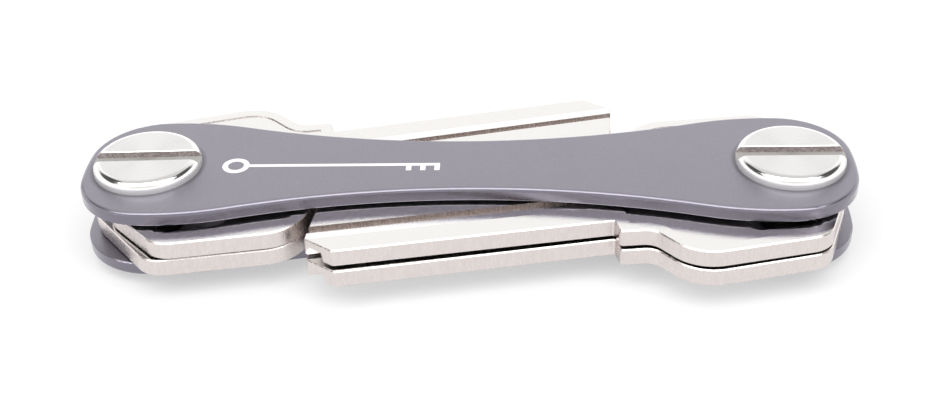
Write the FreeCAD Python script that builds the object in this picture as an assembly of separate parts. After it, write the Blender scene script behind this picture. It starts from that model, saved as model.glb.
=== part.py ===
"""Key organiser: two waisted plates joined by two screw posts, with four folding keys.

Frame: millimetres, +Z up. The origin is the centre of the back plate's outer face.
+X runs along the plates to the right post, +Y runs across them, and the back heads,
which the organiser rests on, stand below z 0.
"""
import FreeCAD, Part
import math
import os

Vec = FreeCAD.Vector
UP = Vec(0, 0, 1)

# Driving dimensions -------------------------------------------------------------
POST_SPACING = 68.0

PLATE_THICK = 1.5
PLATE_HALF_LENGTH = 40.8
NOSE_RADIUS, NOSE_SWEEP = 27.7, 5.0
CORNER_RADIUS, CORNER_SWEEP = 7.46, 81.6
FLANK_RADIUS, FLANK_SWEEP = 28.0, 19.0
PLATE_OUTER_ROUND = 0.4
PLATE_INNER_ROUND = 0.15

HEAD_RADIUS = 5.73
HEAD_THICK = 1.3
HEAD_ROUND = 0.9
SLOT_WIDTH = 1.8
SLOT_DEPTH = 0.75
SLOT_EDGE = 0.06
LEFT_SLOT_TURN, RIGHT_SLOT_TURN = 1.7, 0.0

POST_DIAMETER = 4.4
POST_HOLE_DIAMETER = 4.6
POST_SHORT_OF_TOP = 0.2
BORE_DIAMETER = 3.1
BORE_FLOOR = 0.6
BORE_THREAD_START, BORE_THREAD_SHORT_OF_TOP = 1.6, 0.4
SHANK_DIAMETER = 2.9
SHANK_LENGTH = 5.6
SHANK_CHAMFER = 0.3
SHANK_THREAD_START, SHANK_THREAD_SHORT_OF_HEAD = 0.5, 0.6
THREAD_PITCH = 0.5
THREAD_DEPTH = 0.22
THREAD_OVERCUT = 0.1

WASHER_RADIUS = 3.6
OUTER_WASHER_THICK = 0.25
MIDDLE_WASHER_THICK = 0.2
SLIP = 0.03

KEY_THICK = 1.95
KEY_EDGE = 0.12
BOW_HALF_WIDTH = 13.05
BOW_END_HALF_WIDTH = 12.2
BOW_FRONT = 13.9
NECK_START, NECK_HALF_WIDTH = 17.0, 7.9
SHOULDER, SHOULDER_HALF_WIDTH = 20.4, 7.6
BOW_FRONT_ROUND, BOW_END_ROUND, END_FLAT_ROUND = 5.0, 3.0, 4.0
NECK_ROUND, SHOULDER_ROUND = 2.0, 0.5
SHORT_END = (-0.1, -4.45, 4.5)
LONG_END = (-1.1, -6.1, 2.2)
BLADE_HIGH, BLADE_LOW = 5.6, -3.1
BLADE_START, BLADE_START_ROUND = 20.5, 0.3
TIP_SHOULDER, TIP_POINT, TIP_HEEL = 49.3, 51.9, 50.1
TIP_POINT_V = 2.9
TIP_HEEL_ROUND, TIP_ROUND = 0.8, 0.4
HOLE_HALF_WIDTH = 9.95
HOLE_INNER_U, HOLE_OUTER_U, HOLE_APEX_U = 7.3, 0.7, -2.55
HOLE_ROUND, HOLE_APEX_ROUND = 1.1, 1.5
RIM_WIDTH = 1.3
PANEL_DEPTH = 0.12
GROOVE_START = 21.6
TOP_GROOVE = (0.85, 1.9, 0.95)
TOP_GROOVE_BEVEL = (3.0, 0.07)
BOTTOM_GROOVE = (2.9, 4.7, 1.1)
GROOVE_WALL_LEAN = 0.08
CUT_MARGIN = 1.0

LEFT_UPPER_KEY_PLAY = Vec(0, -0.35, 0)
LEFT_LOWER_KEY_PLAY = Vec(0, 0.05, 0)
RIGHT_KEY_PLAY = Vec(-0.6, -0.8, 0)
LEFT_UPPER_KEY_TURN = 13.5
LEFT_LOWER_KEY_TURN = 12.9
RIGHT_UPPER_KEY_TURN = 190.3
RIGHT_LOWER_KEY_TURN = 190.9

# Levels worked out from the stack ------------------------------------------------
BACK_PLATE_Z = 0.0
GAP_Z = BACK_PLATE_Z + PLATE_THICK
BOTTOM_WASHER_Z = GAP_Z
LOWER_KEY_Z = BOTTOM_WASHER_Z + OUTER_WASHER_THICK + SLIP
MIDDLE_WASHER_Z = LOWER_KEY_Z + KEY_THICK + SLIP
UPPER_KEY_Z = MIDDLE_WASHER_Z + MIDDLE_WASHER_THICK + SLIP
TOP_WASHER_Z = UPPER_KEY_Z + KEY_THICK + SLIP
FRONT_PLATE_Z = TOP_WASHER_Z + OUTER_WASHER_THICK
FRONT_FACE_Z = FRONT_PLATE_Z + PLATE_THICK

LEFT_POST = Vec(-POST_SPACING / 2, 0, 0)
RIGHT_POST = Vec(POST_SPACING / 2, 0, 0)


def cylinder(radius, height, z=0.0):
    """Upright cylinder on the local axis, from z upwards."""
    return Part.makeCylinder(radius, height, Vec(0, 0, z))


def flat_edges(shape, z):
    """Edges that lie wholly at one height."""
    found = []
    for edge in shape.Edges:
        box = edge.BoundBox
        if abs(box.ZMin - z) < 1e-4 and abs(box.ZMax - z) < 1e-4:
            found.append(edge)
    return found


def tangent_arc(start, heading, radius, sweep):
    """Arc turning left by sweep degrees (right if negative); gives edge, end, heading."""
    side = 1 if sweep > 0 else -1
    centre = start + Vec(-math.sin(heading), math.cos(heading), 0) * radius * side
    turn = math.radians(sweep)

    def at(part):
        angle = heading + turn * part
        return centre + Vec(math.sin(angle), -math.cos(angle), 0) * radius * side

    edge = Part.Arc(start, at(0.5), at(1.0)).toShape()
    return edge, at(1.0), heading + turn


def plate_outline():
    """Closed outline centred on the plate: four equal quarters of tangent arcs."""
    point = Vec(PLATE_HALF_LENGTH, 0, 0)
    heading = math.pi / 2
    quarter = []
    arcs = [(NOSE_RADIUS, NOSE_SWEEP), (CORNER_RADIUS, CORNER_SWEEP), (FLANK_RADIUS, FLANK_SWEEP)]
    for radius, sweep in arcs:
        edge, point, heading = tangent_arc(point, heading, radius, sweep)
        quarter.append(edge)
    waist_sweep = heading - math.pi
    waist_radius = point.x / math.sin(waist_sweep)
    edge, point, heading = tangent_arc(point, heading, waist_radius, -math.degrees(waist_sweep))
    quarter.append(edge)
    half = quarter + [e.mirror(Vec(0, 0, 0), Vec(1, 0, 0)) for e in quarter]
    edges = half + [e.mirror(Vec(0, 0, 0), Vec(0, 1, 0)) for e in half]
    return Part.Wire(Part.__sortEdges__(edges))


def rounded_outline(corners):
    """Closed outline of straight runs, each corner (u, v, radius) rounded by its radius."""
    count = len(corners)
    starts = []
    ends = []
    middles = []
    for i, (u, v, radius) in enumerate(corners):
        here = Vec(u, v, 0)
        back = Vec(corners[i - 1][0], corners[i - 1][1], 0) - here
        ahead = Vec(corners[(i + 1) % count][0], corners[(i + 1) % count][1], 0) - here
        back.normalize()
        ahead.normalize()
        half = back.getAngle(ahead) / 2
        reach = radius / math.tan(half)
        inward = back + ahead
        inward.normalize()
        centre = here + inward * (radius / math.sin(half))
        starts.append(here + back * reach)
        ends.append(here + ahead * reach)
        middles.append(centre - inward * radius)
    edges = []
    for i in range(count):
        edges.append(Part.Arc(starts[i], middles[i], ends[i]).toShape())
        edges.append(Part.LineSegment(ends[i], starts[(i + 1) % count]).toShape())
    return Part.Wire(edges)


def plate(z, outer_face_up):
    """One plate with its two post holes, rounded more on the face that is held."""
    solid = Part.Face(plate_outline()).extrude(UP * PLATE_THICK)
    top = PLATE_OUTER_ROUND if outer_face_up else PLATE_INNER_ROUND
    bottom = PLATE_INNER_ROUND if outer_face_up else PLATE_OUTER_ROUND
    solid = solid.makeFillet(top, flat_edges(solid, PLATE_THICK))
    solid = solid.makeFillet(bottom, flat_edges(solid, 0))
    for side in (-1, 1):
        hole = cylinder(POST_HOLE_DIAMETER / 2, PLATE_THICK * 3, -PLATE_THICK)
        hole.translate(Vec(side * POST_SPACING / 2, 0, 0))
        solid = solid.cut(hole)
    solid.translate(UP * z)
    return solid


def slotted_head(turn):
    """Low coin-slot head, flat side down at z 0."""
    head = cylinder(HEAD_RADIUS, HEAD_THICK)
    head = head.makeFillet(HEAD_ROUND, flat_edges(head, HEAD_THICK))
    slot = Part.makeBox(HEAD_RADIUS * 3, SLOT_WIDTH, SLOT_DEPTH * 2)
    slot.translate(Vec(-HEAD_RADIUS * 1.5, -SLOT_WIDTH / 2, HEAD_THICK - SLOT_DEPTH))
    head = head.cut(slot)
    rims = [e for e in flat_edges(head, HEAD_THICK) if e.Curve.TypeId == "Part::GeomLine"]
    head = head.makeChamfer(SLOT_EDGE, rims)
    head.rotate(Vec(0, 0, 0), UP, turn)
    return head


def ring_grooves(diameter, first, last, inside):
    """Thread stand-in: rings one pitch apart, to cut from a shank or from a bore wall."""
    rings = []
    radius = diameter / 2
    depth = THREAD_DEPTH if inside else -THREAD_DEPTH
    proud = radius - depth * THREAD_OVERCUT
    quarter = THREAD_PITCH / 4
    z = first
    while z + 2 * quarter < last:
        foot = Vec(proud, 0, z)
        root = Vec(radius + depth, 0, z + quarter)
        head = Vec(proud, 0, z + 2 * quarter)
        profile = Part.Face(Part.makePolygon([foot, root, head, foot]))
        rings.append(profile.revolve(Vec(0, 0, 0), UP, 360))
        z += THREAD_PITCH
    return Part.makeCompound(rings)


def post(place):
    """Threaded barrel with a slotted head that sits under the back plate."""
    top = FRONT_FACE_Z - POST_SHORT_OF_TOP
    barrel = cylinder(POST_DIAMETER / 2, top)
    head = slotted_head(0)
    head.rotate(Vec(0, 0, 0), Vec(1, 0, 0), 180)
    solid = barrel.fuse(head).removeSplitter()
    solid = solid.cut(cylinder(BORE_DIAMETER / 2, top, BORE_FLOOR))
    last = top - BORE_THREAD_SHORT_OF_TOP
    solid = solid.cut(ring_grooves(BORE_DIAMETER, BORE_THREAD_START, last, inside=True))
    solid.translate(place)
    return solid


def screw(place, turn):
    """Slotted screw whose shank threads into the post from the front."""
    head = slotted_head(turn)
    head.translate(Vec(0, 0, FRONT_FACE_Z))
    tip = FRONT_FACE_Z - SHANK_LENGTH
    shank = cylinder(SHANK_DIAMETER / 2, SHANK_LENGTH, tip)
    shank = shank.makeChamfer(SHANK_CHAMFER, flat_edges(shank, tip))
    last = FRONT_FACE_Z - SHANK_THREAD_SHORT_OF_HEAD
    threads = ring_grooves(SHANK_DIAMETER, tip + SHANK_THREAD_START, last, inside=False)
    shank = shank.cut(threads)
    solid = head.fuse(shank).removeSplitter()
    solid.translate(place)
    return solid


def washer(place, z, thick):
    """Thin slip washer round a post."""
    ring = cylinder(WASHER_RADIUS, thick, z).cut(cylinder(POST_HOLE_DIAMETER / 2, thick, z))
    ring.translate(place)
    return ring


def bow_corners(end):
    """Bow corners from the blade side round the end and back, without the blade.

    The end is (corner u, end u, half width of the end's flat).
    """
    corner_u, end_u, end_flat = end
    upper = [
        (SHOULDER, SHOULDER_HALF_WIDTH, SHOULDER_ROUND),
        (NECK_START, NECK_HALF_WIDTH, NECK_ROUND),
        (BOW_FRONT, BOW_HALF_WIDTH, BOW_FRONT_ROUND),
        (corner_u, BOW_END_HALF_WIDTH, BOW_END_ROUND),
        (end_u, end_flat, END_FLAT_ROUND),
    ]
    lower = [(u, -v, radius) for u, v, radius in reversed(upper)]
    return upper + lower


def key_outline(end):
    """Whole key seen from above: symmetric bow, offset blade with a bevelled tip."""
    blade = [
        (BLADE_START, BLADE_LOW, BLADE_START_ROUND),
        (TIP_HEEL, BLADE_LOW, TIP_HEEL_ROUND),
        (TIP_POINT, TIP_POINT_V, TIP_ROUND),
        (TIP_SHOULDER, BLADE_HIGH, TIP_ROUND),
        (BLADE_START, BLADE_HIGH, BLADE_START_ROUND),
    ]
    return rounded_outline(bow_corners(end) + blade)


def hole_outline():
    """Wide opening in the bow; its outer side bows out to seat the post."""
    return rounded_outline([
        (HOLE_APEX_U, 0, HOLE_APEX_ROUND),
        (HOLE_OUTER_U, -HOLE_HALF_WIDTH, HOLE_ROUND),
        (HOLE_INNER_U, -HOLE_HALF_WIDTH, HOLE_ROUND),
        (HOLE_INNER_U, HOLE_HALF_WIDTH, HOLE_ROUND),
        (HOLE_OUTER_U, HOLE_HALF_WIDTH, HOLE_ROUND),
    ])


def groove(section):
    """Lengthwise blade groove, open at the tip, from its (v, z) section."""
    points = [Vec(GROOVE_START, v, z) for v, z in section]
    length = TIP_POINT - GROOVE_START + CUT_MARGIN
    return Part.Face(Part.makePolygon(points + points[:1])).extrude(Vec(length, 0, 0))


def top_groove():
    """Narrow groove in the top face, with a shallow bevel leading into it."""
    low, high, depth = TOP_GROOVE
    bevel_v, bevel_depth = TOP_GROOVE_BEVEL
    floor = KEY_THICK - depth
    return groove([
        (low, KEY_THICK + CUT_MARGIN),
        (bevel_v, KEY_THICK + CUT_MARGIN),
        (bevel_v, KEY_THICK),
        (high, KEY_THICK - bevel_depth),
        (high - GROOVE_WALL_LEAN, floor),
        (low + GROOVE_WALL_LEAN, floor),
        (low, KEY_THICK),
    ])


def bottom_groove():
    """Wide groove in the underside, near the blade's high edge."""
    low, high, depth = BOTTOM_GROOVE
    return groove([
        (low, -CUT_MARGIN),
        (low, 0),
        (low + 2 * GROOVE_WALL_LEAN, depth),
        (high - 2 * GROOVE_WALL_LEAN, depth),
        (high, 0),
        (high, -CUT_MARGIN),
    ])


def key(place, turn, play, z, end):
    """Uncut key blank, flat on z, with its bow on the post and its blade turned to turn."""
    solid = Part.Face(key_outline(end)).extrude(UP * KEY_THICK)
    hole = Part.Face(hole_outline()).extrude(UP * KEY_THICK)
    solid = solid.cut(hole)
    solid = solid.makeChamfer(KEY_EDGE, flat_edges(solid, KEY_THICK) + flat_edges(solid, 0))
    rim_line = rounded_outline(bow_corners(end)).makeOffset2D(-RIM_WIDTH)
    panel = Part.Face(rim_line).extrude(UP * PANEL_DEPTH)
    solid = solid.cut(panel)
    panel.translate(UP * (KEY_THICK - PANEL_DEPTH))
    solid = solid.cut(panel)
    solid = solid.cut(top_groove()).cut(bottom_groove())
    solid.translate(play + UP * z)
    solid.rotate(Vec(0, 0, 0), UP, turn)
    solid.translate(place)
    return solid


def build():
    """Every sub-part by node name."""
    parts = {
        "front_plate": plate(FRONT_PLATE_Z, True),
        "back_plate": plate(BACK_PLATE_Z, False),
    }
    keys = {
        "left_upper_key":
            (LEFT_POST, LEFT_UPPER_KEY_TURN, LEFT_UPPER_KEY_PLAY, UPPER_KEY_Z, SHORT_END),
        "left_lower_key":
            (LEFT_POST, LEFT_LOWER_KEY_TURN, LEFT_LOWER_KEY_PLAY, LOWER_KEY_Z, LONG_END),
        "right_upper_key":
            (RIGHT_POST, RIGHT_UPPER_KEY_TURN, RIGHT_KEY_PLAY, UPPER_KEY_Z, SHORT_END),
        "right_lower_key":
            (RIGHT_POST, RIGHT_LOWER_KEY_TURN, RIGHT_KEY_PLAY, LOWER_KEY_Z, SHORT_END),
    }
    for name, placing in keys.items():
        parts[name] = key(*placing)
    washers = [
        ("bottom", BOTTOM_WASHER_Z, OUTER_WASHER_THICK),
        ("middle", MIDDLE_WASHER_Z, MIDDLE_WASHER_THICK),
        ("top", TOP_WASHER_Z, OUTER_WASHER_THICK),
    ]
    posts = [("left", LEFT_POST, LEFT_SLOT_TURN), ("right", RIGHT_POST, RIGHT_SLOT_TURN)]
    for side, place, slot_turn in posts:
        parts[side + "_post"] = post(place)
        parts[side + "_screw"] = screw(place, slot_turn)
        for level, z, thick in washers:
            parts[side + "_" + level + "_washer"] = washer(place, z, thick)
    return parts


def main():
    """Write one STEP file per sub-part."""
    os.makedirs("parts", exist_ok=True)
    for name, shape in build().items():
        solid = shape.Solids[0] if len(shape.Solids) == 1 else shape
        solid.exportStep("parts/" + name + ".step")
        print(name, "valid", solid.isValid(), "solids", len(shape.Solids), "mm3", round(solid.Volume, 1))


main()
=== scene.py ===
import math

import bpy
import bmesh
from mathutils import Matrix, Vector


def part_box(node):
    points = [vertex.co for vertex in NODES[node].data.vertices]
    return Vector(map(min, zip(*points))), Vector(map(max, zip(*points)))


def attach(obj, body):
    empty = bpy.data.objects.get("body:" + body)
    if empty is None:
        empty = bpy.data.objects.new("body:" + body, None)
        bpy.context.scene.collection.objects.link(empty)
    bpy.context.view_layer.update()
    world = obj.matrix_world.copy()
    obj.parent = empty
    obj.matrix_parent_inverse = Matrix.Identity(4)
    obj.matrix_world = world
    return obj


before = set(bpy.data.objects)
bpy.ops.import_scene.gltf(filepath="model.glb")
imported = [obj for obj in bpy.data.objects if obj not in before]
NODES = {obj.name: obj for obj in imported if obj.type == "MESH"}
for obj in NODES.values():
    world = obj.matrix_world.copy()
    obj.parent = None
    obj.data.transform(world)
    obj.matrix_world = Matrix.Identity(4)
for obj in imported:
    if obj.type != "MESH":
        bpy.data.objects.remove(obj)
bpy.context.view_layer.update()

# Lengths are given in millimetres unless a comment says metres, and MM makes metres of them.
MM = 0.001
SIDES = ("left", "right")
KEYS = [name for name in NODES if name.endswith("_key")]
UP_FACING, DOWN_FACING = 1, -1


def limits(node):
    """A node's lowest and highest corners at rest, in metres."""
    low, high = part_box(node)
    return Vector(low), Vector(high)


PLATE_FACE_Z = limits("front_plate")[1].z
FLOOR_Z = limits("left_post")[0].z


# Camera -----------------------------------------------------------------------------
# It looks across the organiser from the front, 33 degrees down.
LENS = 57.76
SENSOR = 36.0
CAMERA_FROM_FACE = Vector((7.19, -135.4, 84.17)) * MM
PITCH, YAW, ROLL = math.radians(33.22), math.radians(-2.94), math.radians(-2.01)
CLIP_START, CLIP_END = 5 * MM, 10000 * MM


def make_camera():
    forward = Vector((
        math.sin(YAW) * math.cos(PITCH),
        math.cos(YAW) * math.cos(PITCH),
        -math.sin(PITCH),
    ))
    level = Vector((math.cos(YAW), -math.sin(YAW), 0))
    above = level.cross(forward)
    right = level * math.cos(ROLL) + above * math.sin(ROLL)
    up = above * math.cos(ROLL) - level * math.sin(ROLL)
    data = bpy.data.cameras.new("camera")
    data.lens = LENS
    data.sensor_width = SENSOR
    data.clip_start = CLIP_START
    data.clip_end = CLIP_END
    camera = bpy.data.objects.new("camera", data)
    turn = Matrix((right, up, -forward)).transposed().to_4x4()
    face = Vector((0, 0, PLATE_FACE_Z))
    camera.matrix_world = Matrix.Translation(face + CAMERA_FROM_FACE) @ turn
    bpy.context.scene.collection.objects.link(camera)
    bpy.context.scene.camera = camera


# Node helpers -------------------------------------------------------------------------
class Tree:
    """Short calls that add nodes to one tree; a value is a number, a tuple or a socket."""

    def __init__(self, tree):
        self.tree = tree

    def add(self, kind, **settings):
        node = self.tree.nodes.new("ShaderNode" + kind)
        for name, value in settings.items():
            setattr(node, name, value)
        return node

    def join(self, source, socket):
        if isinstance(source, bpy.types.NodeSocket):
            self.tree.links.new(source, socket)
        else:
            socket.default_value = source

    def math(self, operation, a, b=0.0):
        node = self.add("Math", operation=operation)
        self.join(a, node.inputs[0])
        self.join(b, node.inputs[1])
        return node.outputs[0]

    def product(self, first, *others):
        for other in others:
            first = self.math("MULTIPLY", first, other)
        return first

    def rest_of(self, value):
        """What a value from 0 to 1 leaves of 1."""
        return self.math("SUBTRACT", 1.0, value)

    def step(self, value, low, high, out_low=0.0, out_high=1.0):
        """Smooth change from out_low to out_high as value goes from low to high."""
        node = self.add("MapRange", interpolation_type="SMOOTHSTEP")
        self.join(value, node.inputs["Value"])
        node.inputs["From Min"].default_value = low
        node.inputs["From Max"].default_value = high
        node.inputs["To Min"].default_value = out_low
        node.inputs["To Max"].default_value = out_high
        return node.outputs["Result"]

    def split(self, vector):
        node = self.add("SeparateXYZ")
        self.join(vector, node.inputs[0])
        return node.outputs


class Material(Tree):
    """The node tree of one new material; place is the object's own position in millimetres."""

    def __init__(self, name):
        self.material = bpy.data.materials.new(name)
        self.material.use_nodes = True
        super().__init__(self.material.node_tree)
        self.shader = self.tree.nodes["Principled BSDF"]
        coords = self.add("TexCoord")
        self.place = self.vector("MULTIPLY", coords.outputs["Object"], (1 / MM,) * 3)
        self.normal_z = self.split(coords.outputs["Normal"])["Z"]

    def vector_node(self, operation, *values):
        node = self.add("VectorMath", operation=operation)
        for value, socket in zip(values, node.inputs):
            self.join(value, socket)
        return node

    def vector(self, operation, a, b):
        return self.vector_node(operation, a, b).outputs["Vector"]

    def dot(self, a, b):
        return self.vector_node("DOT_PRODUCT", a, b).outputs["Value"]

    def flat_distance(self, offset):
        """How far an offset reaches along the plates, whatever its height."""
        flat = self.vector("MULTIPLY", offset, (1, 1, 0))
        return self.vector_node("LENGTH", flat).outputs["Value"]

    def noise(self, per_mm, detail=3.0, rough=0.55, stretch=(1, 1, 1)):
        node = self.add("TexNoise")
        self.join(self.vector("MULTIPLY", self.place, stretch), node.inputs["Vector"])
        node.inputs["Scale"].default_value = per_mm
        node.inputs["Detail"].default_value = detail
        node.inputs["Roughness"].default_value = rough
        return node.outputs["Fac"]

    def mix(self, factor, a, b):
        """Colour between a and b by factor."""
        node = self.add("Mix", data_type="RGBA")
        self.join(factor, node.inputs["Factor"])
        for value, socket in ((a, node.inputs[6]), (b, node.inputs[7])):
            self.join((*value, 1.0) if isinstance(value, tuple) else value, socket)
        return node.outputs[2]

    def blend(self, factor, a, b):
        """Number between a and b by factor."""
        node = self.add("Mix", data_type="FLOAT")
        self.join(factor, node.inputs["Factor"])
        self.join(a, node.inputs[2])
        self.join(b, node.inputs[3])
        return node.outputs[0]

    def bump(self, height, depth, below=None):
        node = self.add("Bump")
        node.inputs["Strength"].default_value = 1.0
        node.inputs["Distance"].default_value = depth * MM
        self.join(height, node.inputs["Height"])
        if below is not None:
            self.join(below, node.inputs["Normal"])
        return node.outputs["Normal"]

    def set(self, **values):
        for name, value in values.items():
            self.join(value, self.shader.inputs[name.replace("_", " ")])


# Materials ----------------------------------------------------------------------------
# Colours are linear red, green and blue. A pair of them, or of roughnesses, is the two ends
# that a noise wanders between. The other pairs are where a mask starts and ends, and four
# numbers add what it is worth at either end. NOISE_CORE holds most of a noise's values.
NOISE_CORE = (0.3, 0.7)
NOISE_MIDDLE = (0.35, 0.65)

HEAD_RADIUS = 5.73
# Round each head the plate is painted darker in a narrow ring: a painted contact shadow.
PAINTED_SHADOW_RING = (0.1, 0.65)
PAINTED_SHADOW_LEFT = 0.4

PLATE_FLATNESS = (0.55, 0.95)
PLATE_TONES = (0.272, 0.261, 0.307), (0.294, 0.282, 0.328)
PLATE_GRAIN_TONE, PLATE_GRAIN = (0.243, 0.232, 0.279), (0.35, 0.7, 0.0, 0.55)
PLATE_SPECK_TONE, PLATE_SPECKS = (0.42, 0.405, 0.45), (0.70, 0.78, 0.0, 0.4)
# Colour of the painted contact shadow round the heads.
PLATE_PAINTED_SHADOW_TONE = (0.09, 0.085, 0.10)
# The edge tones are darker than the face: painted shade on the plate's sides.
PLATE_SHADED_EDGE_TONES = (0.186, 0.172, 0.212), (0.200, 0.186, 0.228)
PLATE_FACE_ROUGH, PLATE_EDGE_ROUGH = (0.36, 0.46), (0.17, 0.26)
PLATE_BLAST_DEPTH, PLATE_LINE_DEPTH = 0.010, 0.008


def clear_of_painted_shadow(m, side):
    """1 away from a head, and less in the narrow ring round it where a contact shadow is
    painted onto the plate.
    """
    low, high = limits(side + "_screw")
    middle = (low + high) / 2
    away = m.flat_distance(m.vector("SUBTRACT", m.place, (middle.x / MM, middle.y / MM, 0)))
    inner, outer = PAINTED_SHADOW_RING
    return m.step(away, HEAD_RADIUS + inner, HEAD_RADIUS + outer, PAINTED_SHADOW_LEFT, 1.0)


def anodised_plate():
    """Bead-blasted aluminium, anodised warm grey, with a finer machined edge painted darker as
    shade, and a painted contact shadow round each head.
    """
    m = Material("anodised_aluminium")
    cloud = m.noise(per_mm=0.12, detail=2.0)
    grain = m.noise(per_mm=9.0, detail=2.0, rough=0.7)
    speck = m.noise(per_mm=22.0, detail=1.0)
    lines = m.noise(per_mm=1.0, detail=4.0, rough=0.6, stretch=(0.6, 0.6, 26.0))
    face = m.step(m.math("ABSOLUTE", m.normal_z), *PLATE_FLATNESS)
    tone = m.mix(cloud, *PLATE_TONES)
    tone = m.mix(m.step(grain, *PLATE_GRAIN), tone, PLATE_GRAIN_TONE)
    tone = m.mix(m.step(speck, *PLATE_SPECKS), tone, PLATE_SPECK_TONE)
    # Painted shadow: the plate is darkened in a ring round each head.
    contact = m.rest_of(m.product(*[clear_of_painted_shadow(m, side) for side in SIDES]))
    tone = m.mix(contact, tone, PLATE_PAINTED_SHADOW_TONE)
    # Painted shade: the edge gets a darker copy of the plate's colour; its smoother, lined
    # finish is real.
    edge = m.mix(m.noise(per_mm=1.6), *PLATE_SHADED_EDGE_TONES)
    m.set(Base_Color=m.mix(face, edge, tone), Metallic=1.0)
    face_rough = m.step(grain, *NOISE_CORE, *PLATE_FACE_ROUGH)
    edge_rough = m.step(lines, *NOISE_CORE, *PLATE_EDGE_ROUGH)
    m.set(Roughness=m.blend(face, edge_rough, face_rough))
    m.set(Coat_Weight=0.5, Coat_Roughness=0.22, Coat_IOR=1.6)
    blast = m.bump(grain, PLATE_BLAST_DEPTH)
    m.set(Normal=m.bump(m.product(lines, m.rest_of(face)), PLATE_LINE_DEPTH, blast))
    return m.material


KEY_FLATNESS = (0.75, 0.97)
# Top faces tilted slightly off flat, the shallow bevels by the top groove, get a whiter tone: a
# painted highlight.
KEY_PAINTED_HIGHLIGHT_SLOPE = (0.9995, 0.9985)
KEY_TOP_TONES = (0.80, 0.79, 0.775), (0.86, 0.85, 0.835)
KEY_PAINTED_HIGHLIGHT_TONE = (0.97, 0.965, 0.955)
KEY_SIDE_TONES = (0.68, 0.625, 0.605), (0.72, 0.665, 0.645)
KEY_PIT_TONE, KEY_PITS = (0.55, 0.49, 0.47), (0.62, 0.74, 0.0, 0.35)
KEY_TOP_ROUGH, KEY_SIDE_ROUGH = (0.09, 0.17), (0.20, 0.30)
KEY_PEEL_DEPTH, KEY_SHEAR_DEPTH, KEY_PIT_DEPTH = 0.006, 0.010, 0.016


def nickel_key():
    """Nickel-plated brass blank: bright tumbled faces and dull sheared edges."""
    m = Material("nickel_plated_brass")
    mottle = m.noise(per_mm=2.6, detail=4.0, rough=0.6)
    peel = m.noise(per_mm=7.0, detail=2.0)
    shear = m.noise(per_mm=3.2, detail=4.0, rough=0.7, stretch=(1.0, 1.0, 0.22))
    pits = m.noise(per_mm=11.0, detail=2.0)
    level = m.math("ABSOLUTE", m.normal_z)
    face = m.step(level, *KEY_FLATNESS)
    top = m.mix(mottle, *KEY_TOP_TONES)
    # Painted highlight: slightly tilted top faces are painted whiter.
    top = m.mix(m.step(level, *KEY_PAINTED_HIGHLIGHT_SLOPE), top, KEY_PAINTED_HIGHLIGHT_TONE)
    side = m.mix(m.step(shear, *NOISE_MIDDLE), *KEY_SIDE_TONES)
    side = m.mix(m.step(pits, *KEY_PITS), side, KEY_PIT_TONE)
    m.set(Base_Color=m.mix(face, side, top), Metallic=1.0)
    top_rough = m.step(mottle, *NOISE_CORE, *KEY_TOP_ROUGH)
    side_rough = m.step(shear, *NOISE_CORE, *KEY_SIDE_ROUGH)
    m.set(Roughness=m.blend(face, side_rough, top_rough))
    sheared = m.rest_of(face)
    skin = m.bump(m.product(peel, face), KEY_PEEL_DEPTH)
    skin = m.bump(m.product(shear, sheared), KEY_SHEAR_DEPTH, skin)
    m.set(Normal=m.bump(m.product(pits, sheared), KEY_PIT_DEPTH, skin))
    return m.material


SLOT_HALF_WIDTH, SLOT_SOFTNESS = 0.93, 0.03
SLOT_LIP, SLOT_BOTTOM = (0.05, 0.09), (0.80, 0.77)
SLOT_TURN = {"left_screw": 1.7}
FLAT_RADIUS, FLAT_SOFTNESS = 4.85, 0.1
HEAD_FLATNESS = (0.9, 0.99)
HEAD_WALL = (0.45, 0.05)
SLOT_FLOOR_FLATNESS = (0.5, 0.9)
FACE_TONES = (0.72, 0.72, 0.712), (0.82, 0.82, 0.812)
RIM_TONE = (0.88, 0.875, 0.865)
# The slot's tones lie far below the steel's: partly its rough milled finish, partly painted
# shade in the recess.
SLOT_WALL_SHADED_TONES = (0.24, 0.205, 0.20), (0.46, 0.405, 0.395)
SLOT_FLOOR_SHADED_TONES = (0.30, 0.29, 0.28), (0.46, 0.45, 0.435)
FACE_ROUGH, SLOT_ROUGH = (0.24, 0.32), 0.5
RIM_TO_WALL_ROUGH, RIM_TO_WALL_METALLIC = (0.10, 0.42), (1.0, 0.7)
SLOT_METALLIC = 0.3
RINGS_PER_MM, RINGS_DETAIL = 11.0, 3.0
RING_DEPTH, CHATTER_DEPTH = 0.003, 0.02


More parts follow.
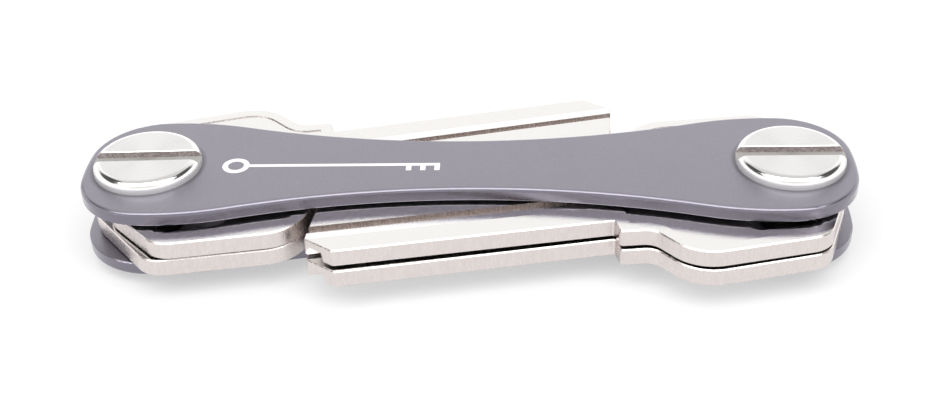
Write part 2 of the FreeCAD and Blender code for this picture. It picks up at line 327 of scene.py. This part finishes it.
def turned_steel(node, centre, face_z, outward):
    """Stainless head: turned flat face, polished rim, dull wall and a rough milled slot,
    painted dark partly as shade.
    """
    m = Material(node + "_steel")
    offset = m.vector("SUBTRACT", m.place, (centre.x / MM, centre.y / MM, face_z / MM))
    radius = m.flat_distance(offset)
    turn = math.radians(SLOT_TURN.get(node, 0.0))
    across = m.math("ABSOLUTE", m.dot(offset, (-math.sin(turn), math.cos(turn), 0)))
    sunk = m.dot(offset, (0, 0, -outward))
    up = m.product(m.normal_z, outward)
    slot = m.product(
        m.step(sunk, *SLOT_LIP),
        m.step(across, SLOT_HALF_WIDTH + SLOT_SOFTNESS, SLOT_HALF_WIDTH),
        m.step(sunk, *SLOT_BOTTOM),
    )
    face = m.product(
        m.step(up, *HEAD_FLATNESS),
        m.step(radius, FLAT_RADIUS + FLAT_SOFTNESS, FLAT_RADIUS),
    )

    rings = m.add("TexNoise", noise_dimensions="1D")
    m.join(radius, rings.inputs["W"])
    rings.inputs["Scale"].default_value = RINGS_PER_MM
    rings.inputs["Detail"].default_value = RINGS_DETAIL
    turned = rings.outputs["Fac"]
    chatter = m.noise(per_mm=5.0, rough=0.65, stretch=(0.7, 1.0, 1.0))

    # Painted shade: the slot's wall and floor are darker than the milled finish alone would
    # make them.
    wall = m.mix(m.step(chatter, *NOISE_MIDDLE), *SLOT_WALL_SHADED_TONES)
    floor = m.mix(chatter, *SLOT_FLOOR_SHADED_TONES)
    milled = m.mix(m.step(up, *SLOT_FLOOR_FLATNESS), wall, floor)
    tone = m.mix(face, RIM_TONE, m.mix(turned, *FACE_TONES))
    m.set(Base_Color=m.mix(slot, tone, milled))
    m.set(Metallic=m.blend(slot, m.step(up, *HEAD_WALL, *RIM_TO_WALL_METALLIC), SLOT_METALLIC))
    rim_rough = m.step(up, *HEAD_WALL, *RIM_TO_WALL_ROUGH)
    head_rough = m.blend(face, rim_rough, m.step(turned, *NOISE_CORE, *FACE_ROUGH))
    m.set(Roughness=m.blend(slot, head_rough, SLOT_ROUGH))
    tangent = m.add("Tangent", direction_type="RADIAL", axis="Z")
    m.set(Anisotropic=0.8, Tangent=tangent.outputs[0])
    cut = m.bump(m.product(turned, face), RING_DEPTH)
    m.set(Normal=m.bump(m.product(chatter, slot), CHATTER_DEPTH, cut))
    return m.material


NYLON_TONES, NYLON_ROUGH = ((0.012, 0.012, 0.013), (0.03, 0.03, 0.032)), (0.42, 0.6)
NYLON_GRAIN_DEPTH = 0.015


def washer_nylon():
    """Black moulded nylon with a faint moulding grain."""
    m = Material("black_nylon")
    grain = m.noise(per_mm=5.0)
    m.set(Base_Color=m.mix(grain, *NYLON_TONES))
    m.set(Roughness=m.step(grain, *NOISE_CORE, *NYLON_ROUGH))
    m.set(Normal=m.bump(grain, NYLON_GRAIN_DEPTH))
    return m.material


ETCH_TONES, ETCH_ROUGH = ((0.74, 0.73, 0.76), (0.92, 0.91, 0.94)), 0.6
ETCH_DEPTH = 0.006


def etched_white():
    """Laser-frosted mark: pale, matt and slightly uneven."""
    m = Material("etched_mark")
    grain = m.noise(per_mm=14.0, rough=0.7)
    m.set(Base_Color=m.mix(grain, *ETCH_TONES), Roughness=ETCH_ROUGH)
    m.set(Normal=m.bump(grain, ETCH_DEPTH))
    return m.material


def dress_nodes():
    """Give every carried-over CAD node its material."""
    plate = anodised_plate()
    key = nickel_key()
    nylon = washer_nylon()
    chosen = {"front_plate": plate, "back_plate": plate}
    for name in KEYS:
        chosen[name] = key
    for side in SIDES:
        low, high = limits(side + "_screw")
        centre = (low + high) / 2
        chosen[side + "_screw"] = turned_steel(side + "_screw", centre, high.z, UP_FACING)
        chosen[side + "_post"] = turned_steel(side + "_post", centre, FLOOR_Z, DOWN_FACING)
        for level in ("bottom", "middle", "top"):
            chosen[side + "_" + level + "_washer"] = nylon
    for name, material in chosen.items():
        for slot in NODES[name].material_slots:
            slot.material = material


# The mark -------------------------------------------------------------------------------
MARK_LEFT, MARK_RIGHT = -26.0, -2.8
MARK_Y = -0.1
RING_RADIUS, RING_HOLE_RADIUS = 1.45, 0.85
RING_SIDES = 64
STEM_HALF_WIDTH, STEM_INTO_RING = 0.24, 0.02
TOOTH_HALF_WIDTH, TOOTH_DROP = 0.28, 1.15
TOOTH_SHIFTS = (0.0, 1.5, 3.0)
MARK_LIFT = 0.012
MARK_MERGE = 0.001


def make_mark():
    """A plain key pictogram etched on the front plate: ring, stem and three teeth."""
    bm = bmesh.new()
    top = PLATE_FACE_Z + MARK_LIFT * MM
    centre = MARK_LEFT + RING_RADIUS

    def face(points):
        bm.faces.new([bm.verts.new((x * MM, (MARK_Y + y) * MM, top)) for x, y in points])

    def bar(left, right, low, high):
        face([(left, low), (right, low), (right, high), (left, high)])

    def on_ring(radius, step):
        angle = math.tau * step / RING_SIDES
        return centre + radius * math.cos(angle), radius * math.sin(angle)

    for i in range(RING_SIDES):
        face([
            on_ring(RING_RADIUS, i),
            on_ring(RING_RADIUS, i + 1),
            on_ring(RING_HOLE_RADIUS, i + 1),
            on_ring(RING_HOLE_RADIUS, i),
        ])
    bar(centre + RING_RADIUS - STEM_INTO_RING, MARK_RIGHT, -STEM_HALF_WIDTH, STEM_HALF_WIDTH)
    for shift in TOOTH_SHIFTS:
        x = MARK_RIGHT - TOOTH_HALF_WIDTH - shift
        bar(x - TOOTH_HALF_WIDTH, x + TOOTH_HALF_WIDTH, -TOOTH_DROP, -STEM_HALF_WIDTH)
    bmesh.ops.remove_doubles(bm, verts=bm.verts, dist=MARK_MERGE * MM)
    mesh = bpy.data.meshes.new("key_mark")
    bm.to_mesh(mesh)
    bm.free()
    mark = bpy.data.objects.new("key_mark", mesh)
    bpy.context.scene.collection.objects.link(mark)
    thick = mark.modifiers.new("thickness", "SOLIDIFY")
    thick.thickness = 2 * MARK_LIFT * MM
    thick.offset = -1
    mesh.materials.append(etched_white())
    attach(mark, "frame")


# Studio ---------------------------------------------------------------------------------
# The floor is a lit white table, so what lies on it keeps only a soft contact shadow.
FLOOR_HALF_SIZE = 1500
FLOOR_TONE = (0.44, 0.44, 0.444, 1)
FLOOR_LIGHT = (1.0, 0.998, 0.998, 1)
FLOOR_GLOW = 0.44
FLOOR_ROUGH, FLOOR_SPECULAR = 0.9, 0.1


def make_floor():
    bm = bmesh.new()
    bmesh.ops.create_grid(bm, x_segments=2, y_segments=2, size=FLOOR_HALF_SIZE * MM)
    mesh = bpy.data.meshes.new("floor")
    bm.to_mesh(mesh)
    bm.free()
    floor = bpy.data.objects.new("floor", mesh)
    floor.location.z = FLOOR_Z
    bpy.context.scene.collection.objects.link(floor)
    material = bpy.data.materials.new("floor")
    material.use_nodes = True
    shader = material.node_tree.nodes["Principled BSDF"]
    shader.inputs["Base Color"].default_value = FLOOR_TONE
    shader.inputs["Emission Color"].default_value = FLOOR_LIGHT
    shader.inputs["Emission Strength"].default_value = FLOOR_GLOW
    shader.inputs["Roughness"].default_value = FLOOR_ROUGH
    shader.inputs["Specular IOR Level"].default_value = FLOOR_SPECULAR
    mesh.materials.append(material)


# The tent's brightness goes by the direction looked in, a unit vector. Each row says over which
# stretch of one component it changes, and from what to what. Y points to the back of the tent.
TENT_COLOUR = (1.0, 0.99, 0.985, 1)
HAZE_BY_Z = (0.20, 0.45, 1.5, 1.12)
OVERHEAD_BY_Z = (0.60, 0.85, 1.0, 0.65)
FRONT_ROOM_BY_Y = (-0.85, -0.70, 0.8, 1.0)
FLAG_BY_SIDE = (0.40, 0.55, 0.0, 0.92)
FLAG_FOOT_BY_Z = (0.38, 0.50, 0.0, 1.0)
FLAG_HEAD_BY_Z = (0.84, 0.92, 1.0, 0.0)
FLAG_BACK_BY_Y = (0.45, 0.65, 1.0, 0.0)
FLAG_FRONT_BY_Y = (-0.40, -0.20, 0.0, 1.0)


def make_world():
    """White tent: brightest low down, darker overhead and in front, with a flag each side."""
    world = bpy.data.worlds.new("studio")
    bpy.context.scene.world = world
    world.use_nodes = True
    t = Tree(world.node_tree)
    way = t.split(t.add("TexCoord").outputs["Generated"])
    flag = t.product(
        t.step(t.math("ABSOLUTE", way["X"]), *FLAG_BY_SIDE),
        t.step(way["Z"], *FLAG_FOOT_BY_Z),
        t.step(way["Z"], *FLAG_HEAD_BY_Z),
        t.step(way["Y"], *FLAG_BACK_BY_Y),
        t.step(way["Y"], *FLAG_FRONT_BY_Y),
    )
    strength = t.product(
        t.step(way["Z"], *HAZE_BY_Z),
        t.step(way["Z"], *OVERHEAD_BY_Z),
        t.step(way["Y"], *FRONT_ROOM_BY_Y),
        t.rest_of(flag),
    )
    background = world.node_tree.nodes["Background"]
    t.join(strength, background.inputs["Strength"])
    t.join(TENT_COLOUR, background.inputs["Color"])


# A rectangular softbox over the front edge, aimed at the origin; place and size in metres.
SOFTBOX_PLACE = Vector((0.0, -0.215, 0.49))
SOFTBOX_SIZE = (0.95, 0.36)
SOFTBOX_RADIANCE = 3.0


def make_softbox():
    width, depth = SOFTBOX_SIZE
    data = bpy.data.lights.new("front_softbox", "AREA")
    data.shape = "RECTANGLE"
    data.size, data.size_y = width, depth
    data.energy = SOFTBOX_RADIANCE * math.pi * width * depth
    light = bpy.data.objects.new("front_softbox", data)
    light.location = SOFTBOX_PLACE
    light.rotation_euler = SOFTBOX_PLACE.to_track_quat("Z", "Y").to_euler()
    bpy.context.scene.collection.objects.link(light)


make_camera()
dress_nodes()
make_mark()
make_floor()
make_world()
make_softbox()
bpy.context.scene.view_settings.view_transform = "Standard"
